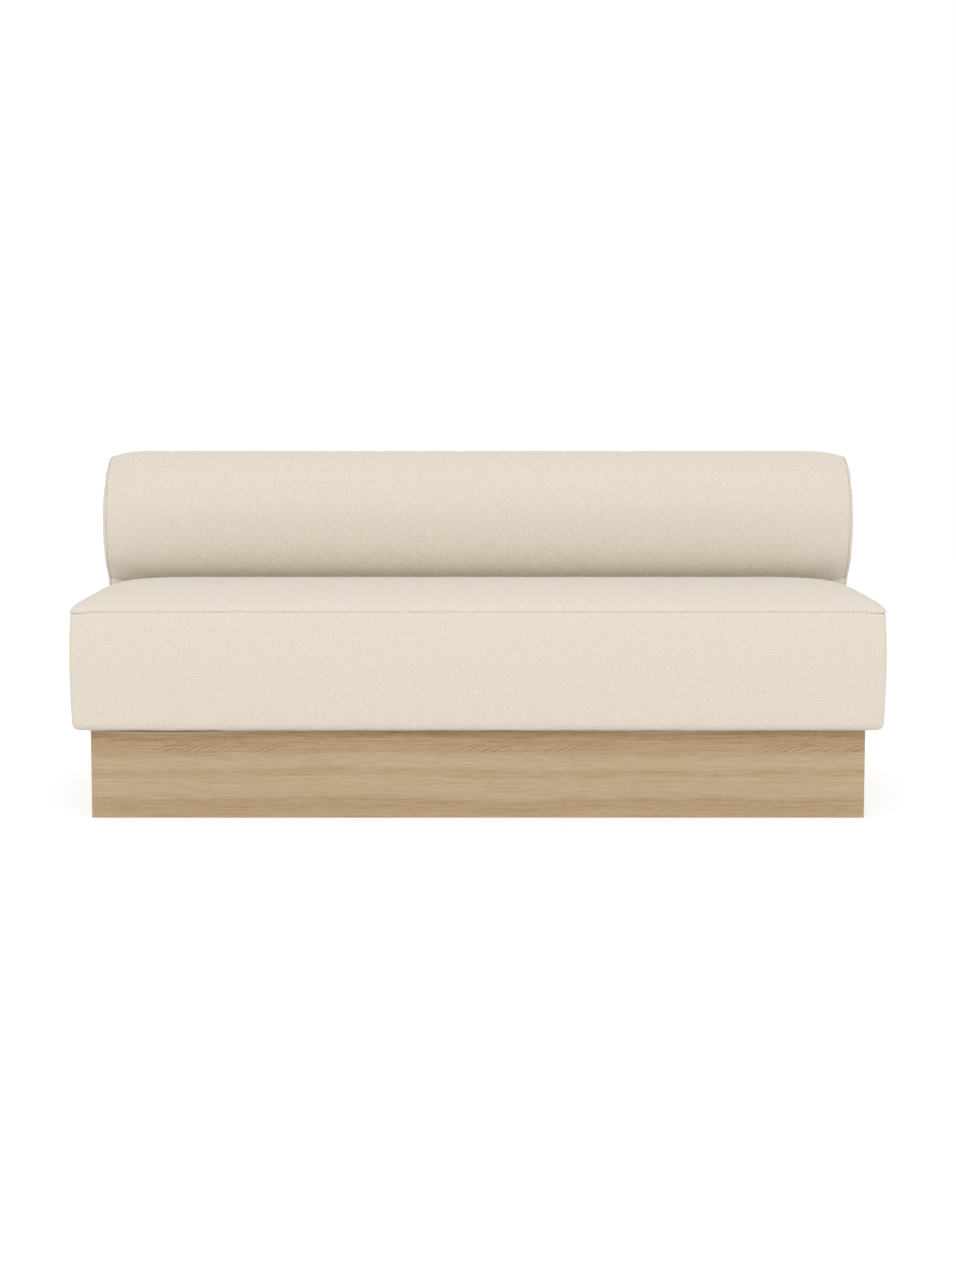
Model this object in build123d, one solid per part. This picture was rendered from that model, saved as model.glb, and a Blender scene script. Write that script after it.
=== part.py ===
import math
import os

from build123d import *

os.makedirs("parts", exist_ok=True)

# Lengths are in millimetres. X runs along the sofa, the front faces -Y and Z is up.
# The origin lies on the floor under the middle of the sofa.

# The upholstered body as a whole
body_width = 1654
body_depth = 780
seam_height = 428
fit_gap = 0.3
cut_overrun = 2

# Cover cloth and the padding between cloth and frame
cover_thickness = 3
plan_corner_radius = 8
underside_radius = 7
underside_return = 30
border_bulge = 4.4
border_bulge_power = 1.15
underside_steps = 3
border_height_shares = (0.25, 0.45, 0.65, 0.85, 1)

# Crown of the seat: how far it rises, how far in it keeps rising, and its shape
crown_rise = 39
crown_reach_share = 0.42
crown_corner_share = 0.35
crown_limit_share = 0.45
crown_shape_shares = (
    (0.006, 0),
    (-0.002, 0.1),
    (0.002, 0.21),
    (0.018, 0.32),
    (0.055, 0.44),
    (0.11, 0.57),
    (0.17, 0.69),
    (0.26, 0.82),
    (0.45, 0.92),
    (0.72, 0.98),
    (1, 1),
)

# Roll of the back: its tucked underside, its rounded ends and its puffed end caps
roll_radius = 144
roll_nose_length = 64
roll_top_flat = 14
tuck_radius = 72
tuck_rise = 26
crease_depth = 4
end_rounding_length = 82
end_rounding_drop = 11
rear_drop_share = 0.35
end_rounding_power = 2.2
end_station_shares = (0, 0.25, 0.45, 0.63, 0.8, 1)
cap_puff = 9
cap_shape_shares = ((0, 0), (0.5, 0.04), (0.85, 0.3), (1, 1))
cap_edge_reach = 16
crease_gap = 1

# Frame of the seat
frame_inset = 16
seat_foam_depth = 64
rail_thickness = 30
cross_rail_thickness = 25
cross_rail_height = 60
cross_rail_spacing = 400
corner_block_leg = 70
corner_block_height = 110
corner_block_drop = 20
strap_width = 60
strap_thickness = 2
strap_count = 13
long_strap_count = 4
strap_end_margin = 6
dust_cover_thickness = 1
dust_cover_margin = 22

# Frame of the back
roll_foam = 38
neck_foam = 12
skin_thickness = 5
rear_panel_thickness = 9
structure_corner_radius = 64
rib_thickness = 18
rib_spacing = 540
rib_hole_radius = 55
batten_width = 45
batten_depth = 20
nose_batten_drop = 8

# Steel angles that hold the back to the seat, with their screws
angle_leg = 40
angle_wall = 4
angle_length = 160
angle_screw_pitch = 40
angle_screw_shares = (0.5, 1.5)
angle_screw_setback = 24
screw_radius = 2.5
screw_length = 18
screw_head_radius = 5
screw_head_height = 3

# Plinth
plinth_height = 185
plinth_inset = 33
plinth_board = 18
plinth_rib_spacing = 265
plinth_rib_lift = 20
cleat_width = 30
cleat_height = 40
plinth_block_leg = 92
plinth_block_height = 120
plinth_block_lift = 24
fixing_radius = 4
fixing_clearance = 0.25
fixing_length = 75
fixing_head_radius = 8
fixing_head_height = 5

# Levelling feet
foot_corner_distance = 32
foot_radius = 18
foot_thickness = 8
foot_rim = 2
foot_travel = 12.5
stem_radius = 4
stem_spare = 13.5
stem_point = 1
stem_clearance = 0.1
stem_hexagon_radius = 8
stem_hexagon_height = 5
nut_radius = 6
nut_length = 16
nut_flange_radius = 10
nut_flange_thickness = 2

# Places that follow from the sizes above
front_y = -body_depth / 2
rear_y = body_depth / 2
half_width = body_width / 2
seat_bottom = plinth_height + dust_cover_thickness
back_half_length = half_width
nose_y = rear_y - 2 * roll_radius
roll_centre_y = nose_y + roll_radius
tuck_centre_y = nose_y + tuck_radius
tuck_centre_z = seam_height + tuck_rise + tuck_radius
roll_centre_z = tuck_centre_z + roll_nose_length
rear_corner_radius = roll_radius - roll_top_flat
neck_y = tuck_centre_y + crease_depth
crown_reach = crown_reach_share * (neck_y - front_y)
frame_half_width = half_width - frame_inset
frame_front_y = front_y + frame_inset
frame_rear_y = rear_y - frame_inset
frame_bottom = seat_bottom + cover_thickness + fit_gap
inner_half_width = frame_half_width - rail_thickness
inner_front_y = frame_front_y + rail_thickness
inner_rear_y = frame_rear_y - rail_thickness
foam_offset = cover_thickness + fit_gap
skin_offset = foam_offset + roll_foam
rib_offset = skin_offset + skin_thickness
skin_neck_offset = foam_offset + neck_foam
skin_neck_y = neck_y + skin_neck_offset
frame_setback = rear_y - frame_rear_y
webbing_top = seam_height - seat_foam_depth
rail_top_height = webbing_top - 2 * strap_thickness
middle_rail_y = skin_neck_y - rail_thickness / 2
cross_rail_top = frame_bottom + cross_rail_height
structure_top = roll_centre_z + roll_radius - skin_offset
panel_top = structure_top - structure_corner_radius
plinth_half_width = half_width - plinth_inset
plinth_half_depth = rear_y - plinth_inset
plinth_inner_half_width = plinth_half_width - plinth_board
plinth_inner_half_depth = plinth_half_depth - plinth_board
bore_radius = stem_radius + stem_clearance
stem_base = foot_thickness / 2
stem_length = plinth_block_lift + nut_length + foot_travel + stem_spare - stem_base


def box_between(low, high):
    """A block from its lowest corner to its highest."""
    size = [b - a for a, b in zip(low, high)]
    middle = [(a + b) / 2 for a, b in zip(low, high)]
    return Pos(*middle) * Box(*size)


def hexagon_head(radius, height, base):
    """A six-sided bolt head or spanner flat, upright on its base centre."""
    return Pos(*base) * extrude(RegularPolygon(radius, 6), height)


def rod(radius, length, base, way="z"):
    """A round bar whose base centre is given, running along X, Y or Z."""
    turns = {"x": Rot(0, 90, 0), "y": Rot(-90, 0, 0), "z": Rot(0, 0, 0)}
    bar = Cylinder(radius, length, align=(Align.CENTER, Align.CENTER, Align.MIN))
    return Pos(*base) * turns[way] * bar


def group(solids):
    """Like pieces that share one node."""
    return Compound(children=list(solids))


# Seat cover and seat padding

def bulge_at(share):
    """How far the border stands out at a share of its height, a swell that is fullest near the middle."""
    return border_bulge * math.sin(math.pi * share**border_bulge_power)


def border_profile():
    """Inset and height of the seat's outer wall, from the underside up to the seam."""
    height = seam_height - seat_bottom
    points = []
    for step in range(underside_steps + 1):
        angle = math.pi / 2 * step / underside_steps
        rise = underside_radius * (1 - math.cos(angle))
        inset = underside_radius * (1 - math.sin(angle))
        points.append((inset - bulge_at(rise / height), seat_bottom + rise))
    for share in border_height_shares:
        points.append((-bulge_at(share), seat_bottom + share * height))
    return points


def crown_profile():
    """Inset and height of the seat's top panel, from the seam to the middle of the crown."""
    return [(crown_reach * i, seam_height + crown_rise * h) for i, h in crown_shape_shares]


def offset_profile(points, distance, first_way, last_way):
    """The profile moved inwards by a distance, square to its run."""
    ways = [(b[0] - a[0], b[1] - a[1]) for a, b in zip(points, points[2:])]
    moved = []
    for (inset, height), (across, up) in zip(points, [first_way, *ways, last_way]):
        run = math.hypot(across, up)
        moved.append((inset + distance * up / run, height - distance * across / run))
    return moved


def stacked_solid(points, rear):
    """A solid through rounded rectangles, each at its own inset and height."""
    sections = []
    for inset, height in points:
        width = body_width - 2 * inset
        depth = rear - front_y - 2 * inset
        soft = plan_corner_radius + crown_corner_share * max(inset, 0)
        radius = min(soft, crown_limit_share * depth, crown_limit_share * width)
        outline = RectangleRounded(width, depth, radius)
        sections.append(Pos(0, (front_y + rear) / 2, height) * outline)
    return loft(sections, ruled=True)


def border_solid(distance, extra_top=0):
    """The body inside the border, at a distance from its outer face."""
    points = offset_profile(border_profile(), distance, (-1, 0), (0, 1))
    if extra_top:
        points.append((points[-1][0], points[-1][1] + extra_top))
    return stacked_solid(points, rear_y)


def crown_solid(distance, extra_bottom=0):
    """The crown above the seam, at a distance from its outer face."""
    points = offset_profile(crown_profile(), distance, (0, 1), (1, 0))
    if extra_bottom:
        points.insert(0, (points[0][0], points[0][1] - extra_bottom))
    return stacked_solid(points, neck_y - crease_gap)


def seat_cover_border():
    opening = frame_inset + underside_return
    hole = box_between(
        (-half_width + opening, front_y + opening, seat_bottom - cut_overrun),
        (half_width - opening, rear_y - opening, seat_bottom + cover_thickness + cut_overrun),
    )
    return border_solid(0) - border_solid(cover_thickness, cut_overrun) - hole


def seat_cover_top():
    return crown_solid(0) - crown_solid(cover_thickness, cut_overrun)


def seat_foam_crown():
    return crown_solid(foam_offset)


def seat_foam_base():
    """Foam block over the webbing, which fills the border up to the seam."""
    room = box_between(
        (-body_width, -body_depth, webbing_top),
        (body_width, skin_neck_y - fit_gap, seam_height),
    )
    return border_solid(foam_offset) & room


def padding_ring():
    """Foam between the frame and the border, stepped down under the seat foam."""
    frame_room = box_between(
        (-frame_half_width, frame_front_y, seat_bottom - cut_overrun),
        (frame_half_width, frame_rear_y, seam_height + cut_overrun),
    )
    seat_room = box_between(
        (-body_width, -body_depth, webbing_top),
        (body_width, skin_neck_y, seam_height + cut_overrun),
    )
    return border_solid(foam_offset) - frame_room - seat_room


def seat_padding(side):
    """One strip of the padding: the front and back strips run past the side strips."""
    ring = padding_ring()
    reach = body_width
    rooms = {
        "front": box_between((-reach, -reach, 0), (reach, frame_front_y, reach)),
        "back": box_between((-reach, frame_rear_y, 0), (reach, reach, reach)),
        "left": box_between((-reach, frame_front_y, 0), (-frame_half_width, frame_rear_y, reach)),
        "right": box_between((frame_half_width, frame_front_y, 0), (reach, frame_rear_y, reach)),
    }
    return ring & rooms[side]


# Seat frame

def seat_long_rail(low_y):
    """The front or back rail, its outer corners eased to clear the cover."""
    rail = box_between(
        (-frame_half_width, low_y, frame_bottom),
        (frame_half_width, low_y + rail_thickness, rail_top_height),
    )
    return (rail & border_solid(foam_offset)) - angle_screw_holes()


def seat_side_rail(low_x):
    return box_between(
        (low_x, inner_front_y, frame_bottom),
        (low_x + rail_thickness, inner_rear_y, rail_top_height),
    )


def seat_middle_rail():
    """Rail under the neck of the back, which takes the rear ends of the webbing."""
    return box_between(
        (-inner_half_width, middle_rail_y, cross_rail_top),
        (inner_half_width, middle_rail_y + rail_thickness, rail_top_height),
    )


def seat_cross_rail(x):
    half = cross_rail_thickness / 2
    rail = box_between((x - half, inner_front_y, frame_bottom), (x + half, inner_rear_y, cross_rail_top))
    return rail - fixing_holes()


def corner_prism(x_sign, y_sign, corner, leg, low, height):
    """A three-sided block in a corner, its right angle at the corner."""
    outline = Polyline((0, 0), (-x_sign * leg, 0), (0, -y_sign * leg), close=True)
    prism = extrude(make_face(outline), height, dir=(0, 0, 1))
    return Pos(x_sign * corner[0], y_sign * corner[1], low) * prism


def seat_corner_blocks():
    low = rail_top_height - corner_block_drop - corner_block_height
    corner = (inner_half_width, inner_rear_y)
    return group(
        corner_prism(sx, sy, corner, corner_block_leg, low, corner_block_height)
        for sx in (-1, 1)
        for sy in (-1, 1)
    )


def spread(low, high, count):
    """Evenly spaced places, the first and last at the ends."""
    return [low + (high - low) * index / (count - 1) for index in range(count)]


def seat_webbing_crosswise():
    """Elastic straps from the front rail to the middle rail."""
    half = strap_width / 2
    reach = frame_half_width - strap_end_margin - half
    low = (frame_front_y + strap_end_margin, rail_top_height)
    high = (skin_neck_y - fit_gap, rail_top_height + strap_thickness)
    return group(
        box_between((x - half, *low), (x + half, *high)) for x in spread(-reach, reach, strap_count)
    )


def seat_webbing_lengthwise():
    """Straps along the seat, which lie on the crosswise ones."""
    half = strap_width / 2
    reach = frame_half_width - strap_end_margin
    places = spread(inner_front_y + strap_width, middle_rail_y - strap_width, long_strap_count)
    low = rail_top_height + strap_thickness
    return group(box_between((-reach, y - half, low), (reach, y + half, webbing_top)) for y in places)


def seat_dust_cover():
    """Thin black cloth stapled over the underside, with holes for the plinth's bolts."""
    sheet = box_between(
        (-half_width + dust_cover_margin, front_y + dust_cover_margin, plinth_height),
        (half_width - dust_cover_margin, rear_y - dust_cover_margin, seat_bottom),
    )
    return sheet - fixing_holes()


# Back

def soft_underside(inward):
    """The padded underside and nose of the roll, one long bend from the tuck up to the roll's centre."""
    low = tuck_radius - inward
    high = roll_nose_length + tuck_radius - inward
    return [EllipticalCenterArc((tuck_centre_y, roll_centre_z), low, high, 180, arc_size=90)]


def wooden_underside(inward):
    """The underside of the wooden back, a short bend under an upright nose."""
    nose = nose_y + inward
    return [
        CenterArc((tuck_centre_y, tuck_centre_z), tuck_radius - inward, 180, 90),
        Line((nose, tuck_centre_z), (nose, roll_centre_z)),
    ]


def back_outline(x, inward, neck_inward, rear_inward, rear_radius, bottom, underside):
    """The back in section at x: neck, tucked underside, nose, top and rear, as one face."""
    front_radius = roll_radius - inward
    top = roll_centre_z + front_radius
    shelf = tuck_centre_z - tuck_radius + inward
    neck = neck_y + neck_inward
    rear = rear_y - rear_inward
    rear_centre = (rear - rear_radius, top - rear_radius)
    edges = [
        Line((neck, bottom), (neck, shelf)),
        Line((neck, shelf), (tuck_centre_y, shelf)),
        *underside(inward),
        CenterArc((roll_centre_y, roll_centre_z), front_radius, 90, 90),
        Line((roll_centre_y, top), (rear_centre[0], top)),
        CenterArc(rear_centre, rear_radius, 0, 90),
        Line((rear, rear_centre[1]), (rear, bottom)),
        Line((rear, bottom), (neck, bottom)),
    ]
    plane = Plane(origin=(x, 0, 0), x_dir=(0, 1, 0), z_dir=(1, 0, 0))
    return plane * make_face(edges)


def end_drop(x):
    """How far the roll draws in towards its ends."""
    share = max(0, (abs(x) - back_half_length + end_rounding_length) / end_rounding_length)
    return end_rounding_drop * share**end_rounding_power


def roll_section(x, distance, bottom):
    """The padded back in section at x, at a distance from its outer face."""
    drop = end_drop(x)
    inward = distance + drop
    rear_inward = distance + rear_drop_share * drop
    rear_radius = rear_corner_radius - inward
    return back_outline(x, inward, distance, rear_inward, rear_radius, bottom, soft_underside)


def roll_solid(distance, half_length, bottom):
    """The padded back from end to end, drawn in towards both ends."""
    start = back_half_length - end_rounding_length
    right = [start + share * (half_length - start) for share in end_station_shares]
    stations = [-x for x in reversed(right)] + right
    return loft([roll_section(x, distance, bottom) for x in stations], ruled=True)


def structure_section(x, distance):
    """The wooden back in section at x, at a distance from the outer face of the cover."""
    inner = distance - skin_offset
    return back_outline(
        x,
        distance,
        skin_neck_offset + inner,
        frame_setback + inner,
        structure_corner_radius - inner,
        rail_top_height + fit_gap,
        wooden_underside,
    )


def structure_solid(distance, low_x, high_x):
    return extrude(structure_section(low_x, distance), high_x - low_x, dir=(1, 0, 0))


def back_cover_main():
    """One cloth from the neck, over the nose and the top, down to the rear edge of the seat."""
    inside = roll_solid(cover_thickness, back_half_length + cut_overrun, seam_height - cut_overrun)
    return roll_solid(0, back_half_length, seam_height) - inside


def cap_solid(sign, distance, base_x):
    """A puffed end cap, from a plane at base_x out to its flat middle."""
    places = [(base_x, 0)]
    for out, inwards in cap_shape_shares:
        x = back_half_length - distance + cap_puff * out
        if x > base_x:
            places.append((x, cap_edge_reach * inwards))
    sections = []
    for x, edge in places:
        drawn = distance + end_rounding_drop + edge
        neck = distance + edge
        rear = distance + rear_drop_share * end_rounding_drop + edge
        radius = rear_corner_radius - drawn
        sections.append(back_outline(sign * x, drawn, neck, rear, radius, seam_height, soft_underside))
    return loft(sections, ruled=True)


def back_cover_end(sign):
    shell_base = back_half_length
    outer = cap_solid(sign, 0, shell_base - fit_gap)
    inner = cap_solid(sign, cover_thickness, shell_base - cap_puff)
    room = box_between(
        (sign * shell_base if sign > 0 else -body_width, -body_depth, 0),
        (body_width if sign > 0 else sign * shell_base, body_depth, body_width),
    )
    return (outer & room) - inner


def back_foam_end(sign):
    """Foam between the last rib and the end cap."""
    return cap_solid(sign, foam_offset, frame_half_width)


def back_foam_roll():
    """Thick foam bent over the nose and the top of the back."""
    low = seam_height + fit_gap
    outer = roll_solid(foam_offset, frame_half_width, low)
    wood = structure_solid(skin_offset - fit_gap, -body_width, body_width)
    rear_room = box_between(
        (-body_width, roll_centre_y, 0),
        (body_width, body_depth, panel_top),
    )
    return outer - wood - rear_room


def back_foam_rear():
    """Thin foam over the rear panel, below the bend of the roll."""
    rear_room = box_between((-body_width, frame_rear_y, 0), (body_width, body_depth, panel_top))
    return roll_solid(foam_offset, frame_half_width, seam_height + fit_gap) & rear_room


def back_skin():
    """Thin plywood bent round the ribs, from the neck to the top of the rear panel."""
    shell = structure_solid(skin_offset, -frame_half_width, frame_half_width)
    shell -= structure_solid(rib_offset, -body_width, body_width)
    rear_room = box_between((-body_width, roll_centre_y, 0), (body_width, body_depth, panel_top))
    floor_room = box_between((-body_width, -body_depth, 0), (body_width, body_depth, webbing_top))
    return shell - rear_room - floor_room


def back_rear_panel():
    return box_between(
        (-frame_half_width, frame_rear_y - rear_panel_thickness, rail_top_height + fit_gap),
        (frame_half_width, frame_rear_y, panel_top),
    )


def top_batten():
    high = roll_centre_z + roll_radius - rib_offset
    return box_between(
        (-frame_half_width, roll_centre_y, high - batten_depth),
        (frame_half_width, roll_centre_y + batten_width, high),
    )


def nose_batten():
    low_y = nose_y + rib_offset
    high = roll_centre_z - nose_batten_drop
    return box_between(
        (-frame_half_width, low_y, high - batten_width),
        (frame_half_width, low_y + batten_depth, high),
    )


def base_batten():
    low_y = skin_neck_y + skin_thickness
    low = rail_top_height + fit_gap
    return box_between(
        (-frame_half_width, low_y, low),
        (frame_half_width, low_y + batten_depth, low + batten_width),
    )


def back_rib(x):
    """A plywood former with notches for the battens and a round relief hole."""
    low_x = x - rib_thickness / 2
    rib = structure_solid(rib_offset, low_x, low_x + rib_thickness)
    hole = rod(rib_hole_radius, rib_thickness + 2 * cut_overrun,
               (low_x - cut_overrun, roll_centre_y + crease_depth, roll_centre_z), "x")
    rib = rib - hole - back_rear_panel() - top_batten() - nose_batten() - base_batten()
    return rib - angle_screw_holes()


# Steel angles between the back and the seat

def angle_places():
    """Where an angle meets the side of an inner rib: the face's x, and the way it faces."""
    face = rib_spacing / 2 - rib_thickness / 2
    return [(-face, 1), (face, -1)]


def angle_body(face_x, sign):
    """One angle, upright in the corner of the rear rail and the rib."""
    low = rail_top_height - angle_length / 2
    rib_leg = box_between(
        (min(face_x, face_x + sign * angle_wall), inner_rear_y - angle_leg, low),
        (max(face_x, face_x + sign * angle_wall), inner_rear_y, low + angle_length),
    )
    rail_leg = box_between(
        (min(face_x, face_x + sign * angle_leg), inner_rear_y - angle_wall, low),
        (max(face_x, face_x + sign * angle_leg), inner_rear_y, low + angle_length),
    )
    return rib_leg + rail_leg


def angle_screws(radius, length, head_radius, head_height):
    """The screws through the angles: two into each rib, two into the rear rail."""
    screws = []
    for face_x, sign in angle_places():
        rib_y = inner_rear_y - angle_screw_setback
        rail_x = face_x + sign * angle_screw_setback
        for share in angle_screw_shares:
            up = rail_top_height + share * angle_screw_pitch
            down = rail_top_height - share * angle_screw_pitch
            outer = face_x + sign * (angle_wall + head_height)
            shank_x = min(outer, outer - sign * (length + head_height))
            head_x = min(outer, outer - sign * head_height)
            screw = rod(radius, length + head_height, (shank_x, rib_y, up), "x")
            if head_height:
                screw += rod(head_radius, head_height, (head_x, rib_y, up), "x")
            screws.append(screw)
            outer_y = inner_rear_y - angle_wall - head_height
            screw = rod(radius, length + head_height, (rail_x, outer_y, down), "y")
            if head_height:
                screw += rod(head_radius, head_height, (rail_x, outer_y, down), "y")
            screws.append(screw)
    return screws


def angle_screw_holes():
    return group(angle_screws(screw_radius, screw_length, 0, 0))


def back_angles():
    holes = angle_screw_holes()
    return group(angle_body(face_x, sign) - holes for face_x, sign in angle_places())


def angle_screw_set():
    return group(angle_screws(screw_radius, screw_length, screw_head_radius, screw_head_height))


# Plinth

def plinth_board_mitred(x_sign, y_sign):
    """One board of the plinth, mitred at both ends."""
    if y_sign:
        outer, inner = plinth_half_width, plinth_inner_half_width
        far, near = y_sign * plinth_half_depth, y_sign * plinth_inner_half_depth
        corners = ((-outer, far), (outer, far), (inner, near), (-inner, near))
    else:
        outer, inner = plinth_half_depth, plinth_inner_half_depth
        far, near = x_sign * plinth_half_width, x_sign * plinth_inner_half_width
        corners = ((far, -outer), (far, outer), (near, inner), (near, -inner))
    return extrude(make_face(Polyline(*corners, close=True)), plinth_height, dir=(0, 0, 1))


def cleat_box(y_sign):
    """The batten inside the front or back board, room for the bolts included."""
    near = y_sign * plinth_inner_half_depth
    far = near - y_sign * cleat_width
    reach = plinth_inner_half_width - plinth_block_leg - fit_gap
    return box_between(
        (-reach, min(near, far), plinth_height - cleat_height),
        (reach, max(near, far), plinth_height),
    )


def plinth_cleat(y_sign):
    return cleat_box(y_sign) - fixing_holes()


def plinth_rib(x):
    """A cross board notched round the cleats."""
    half = plinth_board / 2
    rib = box_between(
        (x - half, -plinth_inner_half_depth, plinth_rib_lift),
        (x + half, plinth_inner_half_depth, plinth_height),
    )
    return rib - cleat_box(-1) - cleat_box(1)


def foot_places():
    reach_x = plinth_inner_half_width - foot_corner_distance
    reach_y = plinth_inner_half_depth - foot_corner_distance
    return {
        "front_left": (-reach_x, -reach_y),
        "front_right": (reach_x, -reach_y),
        "back_left": (-reach_x, reach_y),
        "back_right": (reach_x, reach_y),
    }


def plinth_corner_blocks():
    """Glue blocks in the corners of the plinth, bored for the nuts and stems of the feet."""
    corner = (plinth_inner_half_width, plinth_inner_half_depth)
    bores = []
    for x, y in foot_places().values():
        bores.append(rod(nut_radius, nut_length, (x, y, plinth_block_lift)))
        bores.append(rod(stem_radius + fit_gap, plinth_block_height, (x, y, plinth_block_lift)))
    bores = group(bores)
    return group(
        corner_prism(sx, sy, corner, plinth_block_leg, plinth_block_lift, plinth_block_height) - bores
        for sx in (-1, 1)
        for sy in (-1, 1)
    )


def foot_nuts():
    """Flanged nuts pressed into the corner blocks from below."""
    nuts = []
    for x, y in foot_places().values():
        nut = rod(nut_radius, nut_length, (x, y, plinth_block_lift))
        nut += rod(nut_flange_radius, nut_flange_thickness, (x, y, plinth_block_lift - nut_flange_thickness))
        bore_low = plinth_block_lift - nut_flange_thickness - cut_overrun
        nuts.append(nut - rod(bore_radius, nut_length + plinth_block_lift, (x, y, bore_low)))
    return group(nuts)


def foot_pad(x, y):
    """A round pad with an eased lower rim and a socket for the stem."""
    pad = rod(foot_radius, foot_thickness, (x, y, 0))
    pad = chamfer(pad.edges().group_by(Axis.Z)[0], foot_rim)
    return pad - rod(bore_radius, foot_thickness, (x, y, stem_base - stem_clearance))


def foot_stem(x, y):
    """A threaded stem that turns in the pad, with a hexagon for the spanner."""
    stem = rod(stem_radius, stem_length, (x, y, stem_base))
    stem = chamfer(stem.edges().group_by(Axis.Z)[-1], stem_point)
    base = (x, y, foot_thickness + fit_gap)
    return stem + hexagon_head(stem_hexagon_radius, stem_hexagon_height, base)


def fixing_places():
    """Where the plinth's bolts rise through the cleats into the cross rails."""
    y = plinth_inner_half_depth - cleat_width / 2
    return [(x, sign * y) for x in cross_rail_places() for sign in (-1, 1)]


def fixing_low():
    return plinth_height - cleat_height


def fixing_holes():
    radius = fixing_radius + fixing_clearance
    return group(rod(radius, fixing_length + fit_gap, (x, y, fixing_low())) for x, y in fixing_places())


def plinth_bolts():
    """Hexagon bolts, their heads under the cleats."""
    bolts = []
    for x, y in fixing_places():
        head_low = fixing_low() - fixing_head_height
        bolt = rod(fixing_radius, fixing_length + fixing_head_height, (x, y, head_low))
        bolts.append(bolt + hexagon_head(fixing_head_radius, fixing_head_height, (x, y, head_low)))
    return group(bolts)


def cross_rail_places():
    return [-cross_rail_spacing, 0, cross_rail_spacing]


def sofa_pieces():
    """Every piece of the sofa by name."""
    end_rib = frame_half_width - rib_thickness / 2
    pieces = {
        "plinth_front_board": plinth_board_mitred(0, -1),
        "plinth_back_board": plinth_board_mitred(0, 1),
        "plinth_left_board": plinth_board_mitred(-1, 0),
        "plinth_right_board": plinth_board_mitred(1, 0),
        "plinth_rib_left": plinth_rib(-plinth_rib_spacing),
        "plinth_rib_right": plinth_rib(plinth_rib_spacing),
        "plinth_front_cleat": plinth_cleat(-1),
        "plinth_back_cleat": plinth_cleat(1),
        "plinth_corner_blocks": plinth_corner_blocks(),
        "plinth_bolts": plinth_bolts(),
        "foot_nuts": foot_nuts(),
        "seat_front_rail": seat_long_rail(frame_front_y),
        "seat_back_rail": seat_long_rail(inner_rear_y),
        "seat_left_rail": seat_side_rail(-frame_half_width),
        "seat_right_rail": seat_side_rail(inner_half_width),
        "seat_middle_rail": seat_middle_rail(),
        "seat_corner_blocks": seat_corner_blocks(),
        "seat_webbing_crosswise": seat_webbing_crosswise(),
        "seat_webbing_lengthwise": seat_webbing_lengthwise(),
        "seat_foam_base": seat_foam_base(),
        "seat_foam_crown": seat_foam_crown(),
        "seat_cover_border": seat_cover_border(),
        "seat_cover_top": seat_cover_top(),
        "seat_dust_cover": seat_dust_cover(),
        "back_rear_panel": back_rear_panel(),
        "back_top_batten": top_batten(),
        "back_nose_batten": nose_batten(),
        "back_base_batten": base_batten(),
        "back_skin": back_skin(),
        "back_foam_roll": back_foam_roll(),
        "back_foam_rear": back_foam_rear(),
        "back_foam_left_end": back_foam_end(-1),
        "back_foam_right_end": back_foam_end(1),
        "back_cover_main": back_cover_main(),
        "back_cover_left_end": back_cover_end(-1),
        "back_cover_right_end": back_cover_end(1),
        "back_angles": back_angles(),
        "back_angle_screws": angle_screw_set(),
    }
    for name, x in zip(("left", "centre", "right"), cross_rail_places()):
        pieces[f"seat_cross_rail_{name}"] = seat_cross_rail(x)
    for side in ("front", "back", "left", "right"):
        pieces[f"seat_padding_{side}"] = seat_padding(side)
    for name, x in (
        ("outer_left", -end_rib),
        ("inner_left", -rib_spacing / 2),
        ("inner_right", rib_spacing / 2),
        ("outer_right", end_rib),
    ):
        pieces[f"back_rib_{name}"] = back_rib(x)
    for name, (x, y) in foot_places().items():
        pieces[f"foot_pad_{name}"] = foot_pad(x, y)
        pieces[f"foot_stem_{name}"] = foot_stem(x, y)
    return pieces


for node, shape in sofa_pieces().items():
    export_step(shape, f"parts/{node}.step")
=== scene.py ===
import math

import bmesh
import bpy
import numpy as np
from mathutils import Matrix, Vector, noise


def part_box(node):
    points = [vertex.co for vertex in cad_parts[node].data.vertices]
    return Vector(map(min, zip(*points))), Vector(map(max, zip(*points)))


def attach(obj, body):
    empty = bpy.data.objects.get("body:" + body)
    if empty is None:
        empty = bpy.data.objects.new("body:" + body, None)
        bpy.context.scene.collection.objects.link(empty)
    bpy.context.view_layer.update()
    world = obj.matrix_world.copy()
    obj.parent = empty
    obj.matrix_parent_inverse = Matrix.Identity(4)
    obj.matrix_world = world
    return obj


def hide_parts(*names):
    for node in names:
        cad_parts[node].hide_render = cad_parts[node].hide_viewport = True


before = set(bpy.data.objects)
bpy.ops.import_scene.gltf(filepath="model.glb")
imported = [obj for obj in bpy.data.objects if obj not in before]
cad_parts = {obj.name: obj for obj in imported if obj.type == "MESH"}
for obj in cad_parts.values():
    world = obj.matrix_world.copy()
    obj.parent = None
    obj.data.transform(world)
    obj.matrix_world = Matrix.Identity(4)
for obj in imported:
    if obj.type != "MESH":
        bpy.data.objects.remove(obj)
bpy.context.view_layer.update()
scene = bpy.context.scene

# Lengths are in metres. X runs along the sofa, the front faces -Y and Z is up.

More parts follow.
